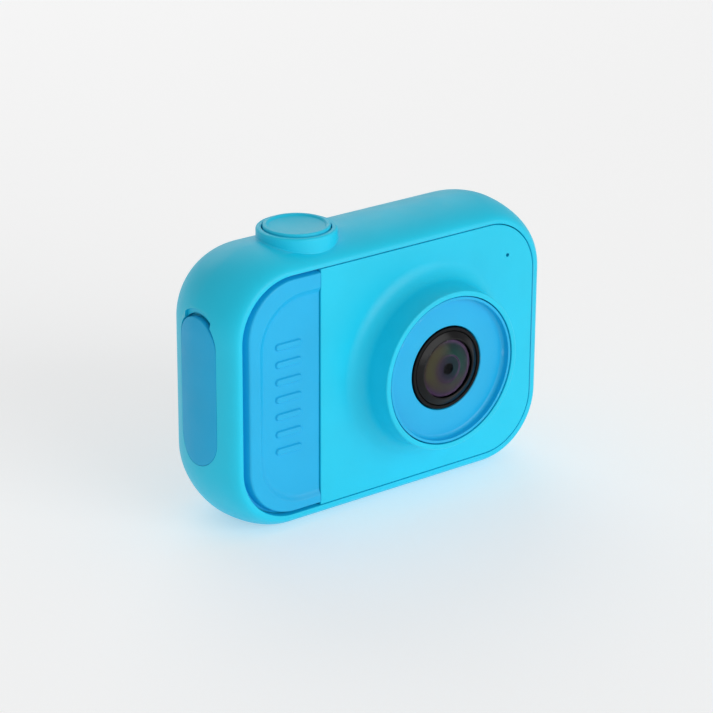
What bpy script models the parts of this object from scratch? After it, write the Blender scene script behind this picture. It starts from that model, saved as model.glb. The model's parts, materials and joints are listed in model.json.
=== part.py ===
"""A children's compact digital camera, built piece by piece.

The frame: +X is the camera's own left-to-right as seen from the front, the lens looks along -Y,
+Z is up, and the origin is the middle of the flat strip that the camera stands on.

Lengths in this file are millimetres. A place is given as (x, depth, height): depth runs back from
the front plate's face, and height is measured from the lens axis. The function `place` turns that
into the frame's metres, and every mesh goes through it.
"""

import math

import bmesh
import bpy
from mathutils import Vector

MM = 0.001

# Driving dimensions.
FACE_TO_ORIGIN = 10.7  # the origin lies this far behind the front plate's face
AXIS_HEIGHT = 29.7  # the lens axis above the flat underside
GAP = 0.3  # between pieces that rest on each other

BODY_HALF_W = 42.2  # the casing at its widest
BODY_TOP = 30.1
BODY_BOTTOM = 30.26  # before the underside is cut flat
BODY_CORNER = 16.3
BODY_DEPTH = 25.26
CROWN_DEPTH = 11.28  # where the casing is widest
FRONT_ROUND, FRONT_POWER = 3.5, 1.8  # how far the casing draws in towards its front face
REAR_ROUND, REAR_POWER = 7.37, 1.72
WALL = 3.2

SEAM_HALF_W = 38.0  # opening for the front plate and the grip inlay
SEAM_HALF_H = 26.126
SEAM_CORNER = 12.38
SEAM_GAP = 0.2
RECESS_DEPTH = 2.2
PLATE_BACK = RECESS_DEPTH - GAP
DIVIDER_X = -18.6  # the front plate's left edge, beside the grip inlay
CAVITY_FRONT, CAVITY_REAR = 4.2, 22.0

REAR_HALF_W, REAR_HALF_H, REAR_CORNER = 34.2, 22.1, 8.6
REAR_LEDGE = 23.4  # depth of the ledge that the rear cover rests on
COVER_INNER = 23.5
COVER_LEDGE_W = 1.4

LENS_X = 9.07
RIM_FRONT = -8.52
RIM_OUTER, RIM_INNER = 17.27, 16.15
FAIRING_FOOT = 21.6
DISH_FLOOR = -6.55

SHUTTER_X, SHUTTER_DEPTH = -16.85, 10.6
SHUTTER_TOP = 32.4
COLLAR_TOP, COLLAR_R = 31.85, 8.36
BUTTON_R, BUTTON_BORE_R = 6.95, 7.2

PORT_DEPTH, PORT_LOW, PORT_HIGH = 10.8, -8.2, 12.0  # centres of the port cover's round ends
PORT_R, PORT_COVER_R = 6.35, 6.0
PORT_FLOOR_X, COVER_INNER_X = -40.3, -40.6
HINGE_Z = -14.25  # the rubber strap bends where it meets the casing's surface
STRAP_HALF_W, STRAP_LOW, STRAP_HIGH = 2.5, -14.8, -14.4
STRAP_GAP = 0.1

MIC_X, MIC_HEIGHT, MIC_HOLE_R = 30.66, 18.39, 0.42
RIB_TOP, RIB_PITCH, RIB_COUNT = 11.4, 3.8, 7  # the grip ribs across the finger recess

BOARD_FRONT, BOARD_REAR = 13.7, 15.0
BOARD_HALF_W, BOARD_HALF_H = 32.0, 20.0
CASE_SCREWS = ((-24.5, 19.0), (24.5, 19.0), (-29.6, -18.0), (29.6, -18.0))
BOARD_SCREWS = ((-1.0, -17.6), (20.4, -17.6), (6.0, 17.6))

KEYPAD_X = -23.0
KEY_PITCH = 6.6
SCREEN_X = 10.2


# ---------------------------------------------------------------- frame and materials


def place(x, depth, height):
    return Vector((x, depth - FACE_TO_ORIGIN, height + AXIS_HEIGHT)) * MM


def material(name, colour, roughness=0.5, metallic=0.0, transmission=0.0):
    made = bpy.data.materials.new(name)
    made.use_nodes = True
    shader = made.node_tree.nodes["Principled BSDF"]
    shader.inputs["Base Color"].default_value = (*colour, 1.0)
    shader.inputs["Roughness"].default_value = roughness
    shader.inputs["Metallic"].default_value = metallic
    shader.inputs["Transmission Weight"].default_value = transmission
    made.diffuse_color = (*colour, 1.0)
    return made


def clear_scene():
    for obj in list(bpy.data.objects):
        bpy.data.objects.remove(obj)


# ---------------------------------------------------------------- mesh helpers


def new_object(name, mesh_builder, finish=None, origin=None):
    """An object from a filled bmesh. A moving piece's origin is a place on its joint's axis."""
    mesh = bpy.data.meshes.new(name)
    bmesh.ops.recalc_face_normals(mesh_builder, faces=mesh_builder.faces)
    obj = bpy.data.objects.new(name, mesh)
    if origin:
        obj.location = place(*origin)
        bmesh.ops.translate(mesh_builder, vec=-obj.location, verts=mesh_builder.verts)
    mesh_builder.to_mesh(mesh)
    mesh_builder.free()
    mesh.shade_smooth()
    mesh.set_sharp_from_angle(angle=math.radians(35))
    if finish:
        mesh.materials.append(finish)
    bpy.context.scene.collection.objects.link(obj)
    return obj


def rounded_outline(left, right, low, high, radius, steps=6, square_left=False, square_right=False):
    """Corner-rounded rectangle as (u, v) points, anticlockwise. A square side keeps sharp corners."""
    corners = (
        (right, high, 0.0, square_right),
        (left, high, 90.0, square_left),
        (left, low, 180.0, square_left),
        (right, low, 270.0, square_right),
    )
    points = []
    for u, v, start, square in corners:
        if square:
            points.append((u, v))
            continue
        centre_u = u - radius if u == right else u + radius
        centre_v = v - radius if v == high else v + radius
        for step in range(steps + 1):
            angle = math.radians(start + 90.0 * step / steps)
            points.append((centre_u + radius * math.cos(angle), centre_v + radius * math.sin(angle)))
    return points


def circle_outline(u, v, radius, steps=24):
    return [
        (u + radius * math.cos(math.tau * i / steps), v + radius * math.sin(math.tau * i / steps))
        for i in range(steps)
    ]


def add_loft(shape, loops):
    """Joins loops of equal length with quads and closes both ends."""
    rings = [[shape.verts.new(point) for point in loop] for loop in loops]
    count = len(rings[0])
    for first, second in zip(rings, rings[1:]):
        for i in range(count):
            j = (i + 1) % count
            shape.faces.new((first[i], first[j], second[j], second[i]))
    shape.faces.new(rings[0])
    shape.faces.new(rings[-1])


def prism(outline, start, end, along="depth"):
    """A straight extrusion of (u, v) points. along is depth (u=x, v=height), x or height."""
    to_point = {
        "depth": lambda u, v, w: place(u, w, v),
        "x": lambda u, v, w: place(w, u, v),
        "height": lambda u, v, w: place(u, v, w),
    }[along]
    shape = bmesh.new()
    add_loft(shape, [[to_point(u, v, w) for u, v in outline] for w in (start, end)])
    return shape


def block(x_range, depth_range, height_range):
    outline = [
        (x_range[0], height_range[0]),
        (x_range[1], height_range[0]),
        (x_range[1], height_range[1]),
        (x_range[0], height_range[1]),
    ]
    return prism(outline, *depth_range)


def turned(profile, centre, axis="depth", steps=32):
    """A closed profile of (radius, along) points turned about an axis. A radius of 0 is a pole."""
    u0, v0 = centre
    shape = bmesh.new()
    rings = []
    for radius, along in profile:
        ring = []
        for i in range(steps if radius > 0 else 1):
            u = u0 + radius * math.cos(math.tau * i / steps)
            v = v0 + radius * math.sin(math.tau * i / steps)
            point = {"depth": (u, along, v), "height": (u, v, along), "x": (along, u, v)}[axis]
            ring.append(shape.verts.new(place(*point)))
        rings.append(ring)
    for first, second in zip(rings, rings[1:] + rings[:1]):
        for i in range(steps):
            j = (i + 1) % steps
            corners = [first[i % len(first)], first[j % len(first)]]
            corners += [second[j % len(second)], second[i % len(second)]]
            corners = list(dict.fromkeys(corners))
            if len(corners) > 2:
                shape.faces.new(corners)
    return shape


def arc(centre, radius, start, end, steps):
    """Points of an arc in a profile, angles in degrees from the +radius direction."""
    return [
        (
            centre[0] + radius * math.cos(math.radians(start + (end - start) * i / steps)),
            centre[1] + radius * math.sin(math.radians(start + (end - start) * i / steps)),
        )
        for i in range(steps + 1)
    ]


def combine(target, operation, name, shape):
    """A Boolean of the target with a helper, which stays in the file as a wire."""
    helper = new_object(f"{target.name}_{name}", shape)
    helper.hide_render = True
    helper.hide_set(True)
    helper.display_type = "WIRE"
    step = target.modifiers.new(name, "BOOLEAN")
    step.operation = operation
    step.solver = "EXACT"
    step.object = helper


def cut(target, name, shape):
    combine(target, "DIFFERENCE", name, shape)


def join(target, name, shape):
    combine(target, "UNION", name, shape)


# ---------------------------------------------------------------- the casing


def draw_in(depth):
    """How far the casing's outline lies inside its widest outline at this depth."""
    if depth < CROWN_DEPTH:
        part = (CROWN_DEPTH - depth) / CROWN_DEPTH
        return FRONT_ROUND * (1 - (1 - part**FRONT_POWER) ** (1 / FRONT_POWER))
    part = (depth - CROWN_DEPTH) / (BODY_DEPTH - CROWN_DEPTH)
    return REAR_ROUND * (1 - max(0.0, 1 - part**REAR_POWER) ** (1 / REAR_POWER))


def casing_depths(steps):
    """Depths spaced so that the rounding's facets turn evenly."""
    turn = [math.pi / 2 * i / steps for i in range(steps + 1)]
    front = [CROWN_DEPTH * (1 - math.cos(t) ** (2 / FRONT_POWER)) for t in turn]
    rear = [CROWN_DEPTH + (BODY_DEPTH - CROWN_DEPTH) * math.sin(t) ** (2 / REAR_POWER) for t in turn]
    return front + rear[1:]


def casing_loops(depths, inset=0.0, steps=6):
    loops = []
    for depth in depths:
        drawn = draw_in(depth) + inset
        outline = rounded_outline(
            drawn - BODY_HALF_W,
            BODY_HALF_W - drawn,
            drawn - BODY_BOTTOM,
            BODY_TOP - drawn,
            BODY_CORNER - drawn,
            steps,
        )
        loops.append([place(x, depth, height) for x, height in outline])
    return loops


def outer_form():
    shape = bmesh.new()
    add_loft(shape, casing_loops(casing_depths(6)))
    return shape


def port_outline(radius, steps=8):
    """The port cover's outline, round at both ends, as (depth, height) points."""
    turns = [math.pi * i / steps for i in range(steps + 1)]
    top = [(PORT_DEPTH + radius * math.cos(t), PORT_HIGH + radius * math.sin(t)) for t in turns]
    bottom = [(PORT_DEPTH - radius * math.cos(t), PORT_LOW - radius * math.sin(t)) for t in turns]
    return top + bottom


def notch_outline():
    """The fingernail notch over the port cover: an arc between two upright sides."""
    radius, half_width, foot = 7.1, 4.4, 14.0
    lean = math.acos(half_width / radius)
    steps = 6
    angles = [lean + (math.pi - 2 * lean) * i / steps for i in range(steps + 1)]
    top = [(PORT_DEPTH + radius * math.cos(a), PORT_HIGH + radius * math.sin(a)) for a in angles]
    return [(PORT_DEPTH + half_width, foot)] + top + [(PORT_DEPTH - half_width, foot)]


def make_casing(finish):
    casing = new_object("casing", outer_form(), finish)
    collar_foot = 26.5
    collar_profile = [
        (0, collar_foot),
        (COLLAR_R, collar_foot),
        (COLLAR_R, COLLAR_TOP - 0.4),
        (COLLAR_R - 0.4, COLLAR_TOP),
        (0, COLLAR_TOP),
    ]
    join(casing, "collar", turned(collar_profile, (SHUTTER_X, SHUTTER_DEPTH), "height", 36))
    below = -60.0
    cut(casing, "underside", block((-50, 50), (-5, 30), (below, -AXIS_HEIGHT)))

    seam = rounded_outline(-SEAM_HALF_W, SEAM_HALF_W, -SEAM_HALF_H, SEAM_HALF_H, SEAM_CORNER, 7)
    cut(casing, "front_recess", prism(seam, -2, RECESS_DEPTH))
    rear = rounded_outline(-REAR_HALF_W, REAR_HALF_W, -REAR_HALF_H, REAR_HALF_H, REAR_CORNER, 5)
    cut(casing, "rear_recess", prism(rear, REAR_LEDGE, BODY_DEPTH + 2))

    cavity = bmesh.new()
    add_loft(cavity, casing_loops((CAVITY_FRONT, 8, 11.3, 15, 19, CAVITY_REAR), WALL, 4))
    cut(casing, "cavity", cavity)
    half_w, half_h = REAR_HALF_W - COVER_LEDGE_W, REAR_HALF_H - COVER_LEDGE_W
    opening = rounded_outline(-half_w, half_w, -half_h, half_h, REAR_CORNER - COVER_LEDGE_W, 4)
    cut(casing, "rear_opening", prism(opening, CAVITY_REAR - 1, REAR_LEDGE + 1))

    for i, (x, height) in enumerate(CASE_SCREWS):
        boss = circle_outline(x, height, 2.2, 12)
        join(casing, f"boss_{i + 1}", prism(boss, RECESS_DEPTH + 0.8, 23.2))
        cut(casing, f"boss_hole_{i + 1}", prism(circle_outline(x, height, 1.15, 8), 12, 24))
    for i, (x, height) in enumerate(BOARD_SCREWS):
        post = prism(circle_outline(x, height, 2.0, 12), RECESS_DEPTH + 0.8, BOARD_FRONT - GAP)
        join(casing, f"post_{i + 1}", post)
        cut(casing, f"post_hole_{i + 1}", prism(circle_outline(x, height, 0.85, 8), 7, 14))

    cut(casing, "lens_hole", prism(circle_outline(LENS_X, 0, 9.0, 32), -1, CAVITY_FRONT + 1))
    mic_hole = circle_outline(MIC_X, MIC_HEIGHT, MIC_HOLE_R, 8)
    cut(casing, "mic_hole", prism(mic_hole, -1, CAVITY_FRONT + 1))
    cut(casing, "port_pocket", prism(port_outline(PORT_R), -45, PORT_FLOOR_X, "x"))
    cut(casing, "port_notch", prism(notch_outline(), -45, -41.0, "x"))
    slot_half = STRAP_HALF_W + STRAP_GAP
    slot_depths = (PORT_DEPTH - slot_half, PORT_DEPTH + slot_half)
    slot_heights = (STRAP_LOW - STRAP_GAP, STRAP_HIGH + STRAP_GAP)
    cut(casing, "strap_slot", block((-45, -38), slot_depths, slot_heights))
    usb = rounded_outline(9.9, 13.7, -9.4, 0.2, 1.8, 3)
    cut(casing, "usb_opening", prism(usb, -42, -38, "x"))
    cut(casing, "card_opening", block((-42, -38), (11.6, 13.7), (0.6, 13.8)))
    for i in range(5):
        hole = circle_outline(10.8, -6.0 + 3.0 * i, 0.7, 8)
        cut(casing, f"speaker_hole_{i + 1}", prism(hole, 38, 44, "x"))
    bore = circle_outline(SHUTTER_X, SHUTTER_DEPTH, BUTTON_BORE_R, 36)
    cut(casing, "shutter_bore", prism(bore, 24.3, SHUTTER_TOP + 1, "height"))
    return casing


# ---------------------------------------------------------------- front pieces


def make_front_plate(finish):
    edge_x, edge_h = SEAM_HALF_W - SEAM_GAP, SEAM_HALF_H - SEAM_GAP
    corner = SEAM_CORNER - SEAM_GAP
    outline = rounded_outline(DIVIDER_X, edge_x, -edge_h, edge_h, corner, 7, square_left=True)
    plate = new_object("front_plate", prism(outline, 0.0, PLATE_BACK), finish)
    cut(plate, "opening", prism(circle_outline(LENS_X, 0, 18.0, 48), -1, 3))
    cut(plate, "mic_hole", prism(circle_outline(MIC_X, MIC_HEIGHT, MIC_HOLE_R, 8), -1, 3))
    foot_r, sunk = 3.9, 0.04
    profile = [(14.6, -4.6), (14.6, 1.6), (20.4, 1.6), (FAIRING_FOOT, 0.9)]
    profile += arc((FAIRING_FOOT, sunk - foot_r), foot_r, 90, 165, 6)
    profile += [(RIM_OUTER, RIM_FRONT + 0.25), (RIM_OUTER - 0.25, RIM_FRONT)]
    profile += [(RIM_INNER, RIM_FRONT), (RIM_INNER, -4.6)]
    join(plate, "turret", turned(profile, (LENS_X, 0), steps=48))
    return plate


def make_grip_inlay(finish):
    """The inlay's outer edge is rounded over. A shallow finger recess runs out to the divider."""
    left, right = -(SEAM_HALF_W - SEAM_GAP), DIVIDER_X - SEAM_GAP
    half_h, corner = SEAM_HALF_H - SEAM_GAP, SEAM_CORNER - SEAM_GAP
    ledge, edge_radius = 0.2, 1.45
    loops = []
    centre = (edge_radius, ledge + edge_radius)
    rounding = [(0.0, PLATE_BACK)] + arc(centre, edge_radius, 180, 270, 4)
    for inset, depth in rounding:
        outline = rounded_outline(
            left + inset, right, inset - half_h, half_h - inset, corner - inset, 7, square_right=True
        )
        loops.append([place(x, depth, height) for x, height in outline])
    shape = bmesh.new()
    add_loft(shape, loops)
    inlay = new_object("grip_inlay", shape, finish)

    recess = bmesh.new()
    walls = ((0.95, -1.0), (0.45, ledge), (0.1, 0.55), (-0.4, 0.8))
    recess_loops = []
    for grow, depth in walls:
        outline = rounded_outline(
            -32.9 - grow, right + 2, -22.6 - grow, 21.2 + grow, 9.6 + grow, 6, square_right=True
        )
        recess_loops.append([place(x, depth, height) for x, height in outline])
    add_loft(recess, recess_loops)
    cut(inlay, "finger_recess", recess)
    for i in range(RIB_COUNT):
        height = RIB_TOP - RIB_PITCH * i
        rib = rounded_outline(-29.6, -23.4, height - 0.6, height + 0.6, 0.59, 3)
        join(inlay, f"rib_{i + 1}", prism(rib, 0.45, 1.2))
    return inlay


def make_lens_group(finishes):
    centre = (LENS_X, 0)
    outer, seat = RIM_INNER - SEAM_GAP, -4.9
    bezel = [(outer, seat), (outer, -8.3), (outer - 0.3, -8.45), (15.35, -8.3)]
    bezel += arc((13.55, DISH_FLOOR - 1.8), 1.8, 0, 90, 4)[1:]
    bezel += [(9.5, DISH_FLOOR), (9.15, DISH_FLOOR + 0.35), (9.15, seat)]
    new_object("lens_bezel", turned(bezel, centre, steps=48), finishes["blue"])

    barrel = [(8.85, -4.6), (8.85, -6.55), (8.7, -6.7), (8.2, -6.7), (8.2, -5.4), (6.3, -5.4)]
    barrel += [(6.3, -2.3), (4.6, -2.3), (4.6, 2.0), (3.6, 2.0), (3.6, 9.0), (7.4, 9.0), (7.4, -4.6)]
    new_object("lens_barrel", turned(barrel, centre, steps=40), finishes["black"])

    ring = [(8.05, -5.7), (8.05, -6.75), (6.1, -7.35), (5.85, -7.4)]
    ring += [(5.75, -7.3), (5.75, -6.5), (6.3, -5.7)]
    new_object("lens_retaining_ring", turned(ring, centre, steps=40), finishes["black"])

    dome = arc((0, 8.0), 15.9, -90 + 20.0, -90, 4)
    hollow = arc((0, -8.4), 4.9, 90, 35, 4)
    front = dome[:-1] + [(0, dome[-1][1])] + [(0, hollow[0][1])] + hollow[1:] + [(5.4, -5.6)]
    new_object("front_lens", turned(front, centre, steps=32), finishes["glass"])

    middle = [(0, -1.9), (2.2, -1.7), (4.3, -1.0), (4.3, 0.8), (2.2, 1.3), (0, 1.5)]
    new_object("middle_lens", turned(middle, centre, steps=20), finishes["glass"])
    stop = [(0.9, 2.3), (3.3, 2.3), (3.3, 2.6), (0.9, 2.6)]
    new_object("aperture_stop", turned(stop, centre, steps=20), finishes["black"])
    rear = [(0, 3.1), (1.8, 3.3), (3.3, 3.9), (3.3, 5.4), (1.8, 5.9), (0, 6.1)]
    new_object("rear_lens", turned(rear, centre, steps=20), finishes["glass"])

    base = block((LENS_X - 9.9, LENS_X + 9.9), (10.6, BOARD_FRONT - GAP), (-9.9, 9.9))
    holder = new_object("lens_holder", base, finishes["black"])
    join(holder, "tube", prism(circle_outline(LENS_X, 0, 9.3, 32), 4.9, 11.5))
    cut(holder, "bore", prism(circle_outline(LENS_X, 0, 7.65, 32), 4, 10.2))
    cut(holder, "window", block((LENS_X - 3.2, LENS_X + 3.2), (10, 12), (-3.2, 3.2)))
    cut(holder, "sensor_room", block((LENS_X - 6, LENS_X + 6), (11.4, 15), (-6, 6)))
    filter_plate = block((LENS_X - 3.9, LENS_X + 3.9), (11.55, 11.85), (-3.9, 3.9))
    new_object("infrared_filter", filter_plate, finishes["filter"])
    sensor = block((LENS_X - 4.2, LENS_X + 4.2), (12.3, BOARD_FRONT - GAP), (-3.6, 3.6))
    new_object("image_sensor", sensor, finishes["chip"])


# ---------------------------------------------------------------- rear pieces


def key_shapes():
    """Each key's name, its centre (x, height), its radius and its straight part's half length."""
    keys = [("key_ok", KEYPAD_X, 0.0, 3.2, 0.0)]
    for name, x, height in (("up", 0, 1), ("down", 0, -1), ("left", 1, 0), ("right", -1, 0)):
        keys.append((f"key_{name}", KEYPAD_X + x * KEY_PITCH, height * KEY_PITCH, 2.3, 0.0))
    keys.append(("power_key", KEYPAD_X, 14.6, 1.6, 1.9))
    keys.append(("mode_key", KEYPAD_X, -14.6, 1.6, 1.9))
    return keys


def key_outline(x, height, radius, straight, grow=0.0, steps=8):
    """A round key, or a pill when it has a straight part."""
    size = radius + grow
    right = [(x + straight, height)] * (steps + 1)
    left = [(x - straight, height)] * (steps + 1)
    points = []
    for i, (u, v) in enumerate(right):
        angle = -math.pi / 2 + math.pi * i / steps
        points.append((u + size * math.cos(angle), v + size * math.sin(angle)))
    for i, (u, v) in enumerate(left):
        angle = math.pi / 2 + math.pi * i / steps
        points.append((u + size * math.cos(angle), v + size * math.sin(angle)))
    if straight == 0.0:
        points = points[:steps] + points[steps + 1 : -1]
    return points


def make_rear_cover(finish):
    half_w, half_h = REAR_HALF_W - SEAM_GAP, REAR_HALF_H - SEAM_GAP
    outline = rounded_outline(-half_w, half_w, -half_h, half_h, REAR_CORNER - SEAM_GAP, 5)
    cover = new_object("rear_cover", prism(outline, COVER_INNER, BODY_DEPTH), finish)
    glass = rounded_outline(SCREEN_X - 20.2, SCREEN_X + 20.2, -15.2, 15.2, 2.2, 3)
    cut(cover, "window_recess", prism(glass, BODY_DEPTH - 1.1, BODY_DEPTH + 1))
    view = rounded_outline(SCREEN_X - 18.5, SCREEN_X + 18.5, -13.9, 13.9, 1.0, 2)
    cut(cover, "view", prism(view, COVER_INNER - 1, BODY_DEPTH))
    for i, (x, height) in enumerate(CASE_SCREWS):
        cut(cover, f"screw_hole_{i + 1}", prism(circle_outline(x, height, 1.2, 8), 23, 25))
        cut(cover, f"head_seat_{i + 1}", prism(circle_outline(x, height, 2.1, 16), 24.4, 27))
    for name, x, height, radius, straight in key_shapes():
        cut(cover, f"{name}_hole", prism(key_outline(x, height, radius, straight, 0.2), 23, 27))
    return cover


def make_keys(finishes):
    top, shoulder, flange, foot = BODY_DEPTH + 0.55, BODY_DEPTH + 0.3, 22.4, 20.95
    for name, x, height, radius, straight in key_shapes():
        loops = []
        for grow, depth in ((0.35, flange), (0.35, 23.2), (0.0, 23.2), (0.0, shoulder), (-0.3, top)):
            outline = key_outline(x, height, radius, straight, grow)
            loops.append([place(u, depth, v) for u, v in outline])
        shape = bmesh.new()
        add_loft(shape, loops)
        key = new_object(name, shape, finishes["blue"], origin=(x, BODY_DEPTH, height))
        join(key, "stem", prism(circle_outline(x, height, 1.0, 8), foot, flange + 0.4))

        half = 2.0
        body = block((x - half, x + half), (BOARD_REAR + GAP, 18.9), (height - half, height + half))
        short_name = name.replace("key_", "").replace("_key", "")
        switch = new_object(f"switch_{short_name}", body, finishes["chip"])
        join(switch, "actuator", prism(circle_outline(x, height, 0.9, 8), 18.5, 20.45))


def make_screen(finishes):
    window = rounded_outline(SCREEN_X - 20.0, SCREEN_X + 20.0, -15.0, 15.0, 2.0, 3)
    window_panel = prism(window, BODY_DEPTH - 1.0, BODY_DEPTH - 0.02)
    new_object("screen_window", window_panel, finishes["window"])
    frame = block((SCREEN_X - 20.6, SCREEN_X + 20.6), (22.6, 23.3), (-15.2, 15.2))
    gasket = new_object("screen_gasket", frame, finishes["foam"])
    cut(gasket, "view", block((SCREEN_X - 18.6, SCREEN_X + 18.6), (22, 24), (-14.0, 14.0)))
    module = block((SCREEN_X - 21.0, SCREEN_X + 21.0), (19.6, 22.3), (-15.5, 15.5))
    new_object("lcd_module", module, finishes["screen"])
    frame = block((SCREEN_X - 21.0, SCREEN_X + 21.0), (15.3, 19.3), (-15.5, 15.5))
    bracket = new_object("screen_bracket", frame, finishes["black"])
    cut(bracket, "middle", block((SCREEN_X - 18.5, SCREEN_X + 18.5), (15, 20), (-13.0, 13.0)))

    route = ((-15.85, 21.4), (-16.9, 21.1), (-17.5, 20.2), (-17.6, 17.2))
    thick = 0.25
    outer = [(depth, height) for height, depth in route]
    inner = [(depth - thick, height + thick) for height, depth in reversed(route[:-1])]
    strip = outer + [(17.2, -17.6 + thick)] + inner
    new_object("screen_flex", prism(strip, SCREEN_X - 6, SCREEN_X + 6, "x"), finishes["flex"])
    socket = block((SCREEN_X - 6.5, SCREEN_X + 6.5), (BOARD_REAR + GAP, 16.9), (-19.2, -16.2))
    new_object("screen_connector", socket, finishes["chip"])


# ---------------------------------------------------------------- electronics


def make_board(finishes):
    half_w, half_h = BOARD_HALF_W, BOARD_HALF_H
    outline = rounded_outline(-half_w, half_w, -half_h, half_h, 3.0, 3)
    board = new_object("main_board", prism(outline, BOARD_FRONT, BOARD_REAR), finishes["board"])
    for i, (x, height) in enumerate(CASE_SCREWS):
        cut(board, f"notch_{i + 1}", prism(circle_outline(x, height, 2.8, 16), 12, 17))
    for i, (x, height) in enumerate(BOARD_SCREWS):
        cut(board, f"hole_{i + 1}", prism(circle_outline(x, height, 1.0, 8), 12, 17))
    seat = BOARD_FRONT - GAP
    new_object("processor", block((20.6, 30.6), (12.2, seat), (-1.5, 8.5)), finishes["chip"])
    new_object("memory_chip", block((21.6, 29.6), (12.5, seat), (-10.4, -4.4)), finishes["chip"])
    new_object("battery_connector", block((-11.6, -5.4), (10.6, seat), (16.4, 19.4)), finishes["white"])


def make_sockets(finishes):
    outer = rounded_outline(10.2, 13.4, -9.07, -0.13, 1.55, 3)
    usb = new_object("usb_socket", prism(outer, -39.9, -30.6, "x"), finishes["metal"])
    mouth = rounded_outline(10.5, 13.1, -8.77, -0.43, 1.28, 3)
    cut(usb, "mouth", prism(mouth, -42, -33.2, "x"))
    join(usb, "tongue", block((-38.7, -32.8), (11.45, 12.15), (-7.9, -1.3)))

    card = new_object("card_socket", block((-39.5, -23.7), (11.9, 13.4), (0.9, 13.5)), finishes["metal"])
    cut(card, "slot", block((-41, -24.3), (12.15, 13.15), (1.4, 13.0)))
    outline = [(-40.1, 1.7), (-25.1, 1.7), (-25.1, 11.3), (-26.5, 12.7), (-40.1, 12.7)]
    new_object("memory_card", prism(outline, 12.3, 13.0), finishes["card"], origin=(-40.1, 12.65, 7.2))


def make_battery(finishes):
    outline = rounded_outline(4.7, 9.9, -18.5, 15.5, 2.0, 3)
    new_object("battery", prism(outline, -27.4, -3.4, "x"), finishes["foil"])
    for name, x, colour in (("positive", -7.4, "red"), ("negative", -9.6, "dark")):
        route = bpy.data.curves.new(f"battery_lead_{name}", "CURVE")
        route.dimensions = "3D"
        route.bevel_depth = 0.5 * MM
        route.bevel_resolution = 1
        route.use_fill_caps = True
        spline = route.splines.new("POLY")
        start, control, end = Vector((7.3, 15.8)), Vector((7.4, 18.4)), Vector((10.3, 17.9))
        steps = 7
        spline.points.add(steps)
        for i in range(steps + 1):
            t = i / steps
            depth, height = start * (1 - t) ** 2 + control * 2 * t * (1 - t) + end * t**2
            spline.points[i].co = (*place(x, depth, height), 1.0)
        lead = bpy.data.objects.new(route.name, route)
        route.materials.append(finishes[colour])
        bpy.context.scene.collection.objects.link(lead)


def make_sound(finishes):
    new_object("speaker", block((35.0, 38.2), (6.4, 15.2), (-7.6, 7.6)), finishes["chip"])
    capsule = [(0, 4.6), (2.0, 4.6), (2.0, 6.4), (0, 6.4)]
    new_object("microphone", turned(capsule, (MIC_X, MIC_HEIGHT), steps=16), finishes["metal"])


# ---------------------------------------------------------------- shutter, port cover, screws


def make_shutter(finishes):
    centre = (SHUTTER_X, SHUTTER_DEPTH)
    foot, rim, dish = 25.1, SHUTTER_TOP, 31.5
    profile = [(0, foot), (BUTTON_R, foot), (BUTTON_R, rim - 0.45), (BUTTON_R - 0.15, rim - 0.12)]
    profile += [(BUTTON_R - 0.5, rim), (BUTTON_R - 0.95, rim - 0.05), (4.8, 31.8)]
    profile += [(2.6, dish + 0.06), (0, dish)]
    cap = turned(profile, centre, "height", 36)
    button = new_object("shutter_button", cap, finishes["cyan"], origin=(*centre, SHUTTER_TOP))
    ears = block((SHUTTER_X - 9.2, SHUTTER_X + 9.2), (7.0, 14.2), (foot, foot + 1.0))
    join(button, "ears", ears)
    join(button, "stem", prism(circle_outline(*centre, 1.5, 12), 22.7, foot + 0.5, "height"))
    body = block((SHUTTER_X - 3.1, SHUTTER_X + 3.1), (8.6, BOARD_FRONT - GAP), (16.8, 20.8))
    switch = new_object("shutter_switch", body, finishes["chip"])
    join(switch, "actuator", prism(circle_outline(*centre, 1.2, 12), 20.4, 22.0, "height"))


def make_port_cover(finishes):
    """A rubber cover, cut from the casing's own outer form, and the strap that holds it."""
    hinge = (-BODY_HALF_W, PORT_DEPTH, HINGE_Z)
    cover = new_object("port_cover", outer_form(), finishes["blue"], origin=hinge)
    outline = prism(port_outline(PORT_COVER_R), -45, COVER_INNER_X, "x")
    combine(cover, "INTERSECT", "outline", outline)
    depths = (PORT_DEPTH - STRAP_HALF_W, PORT_DEPTH + STRAP_HALF_W)
    strap_shape = block((-41.9, -37.4), depths, (STRAP_LOW, STRAP_HIGH))
    strap = new_object("port_cover_strap", strap_shape, finishes["blue"])
    join(strap, "barb", block((-38.1, -37.1), depths, (STRAP_LOW - 1.2, STRAP_HIGH + 0.7)))


def make_screws(finishes):
    sizes = (
        ("case_screw", CASE_SCREWS, 1.0, 1.9, 24.45, 25.15, 15.0),
        ("board_screw", BOARD_SCREWS, 0.7, 1.7, 15.3, 16.3, 9.0),
    )
    for name, places, shank_r, head_r, seat, top, tip in sizes:
        for i, centre in enumerate(places):
            profile = [(0, tip), (shank_r * 0.5, tip), (shank_r, tip + 0.8), (shank_r, seat)]
            profile += [(head_r, seat), (head_r, top - 0.2), (head_r - 0.25, top), (0, top)]
            new_object(f"{name}_{i + 1}", turned(profile, centre, steps=12), finishes["metal"])


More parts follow.
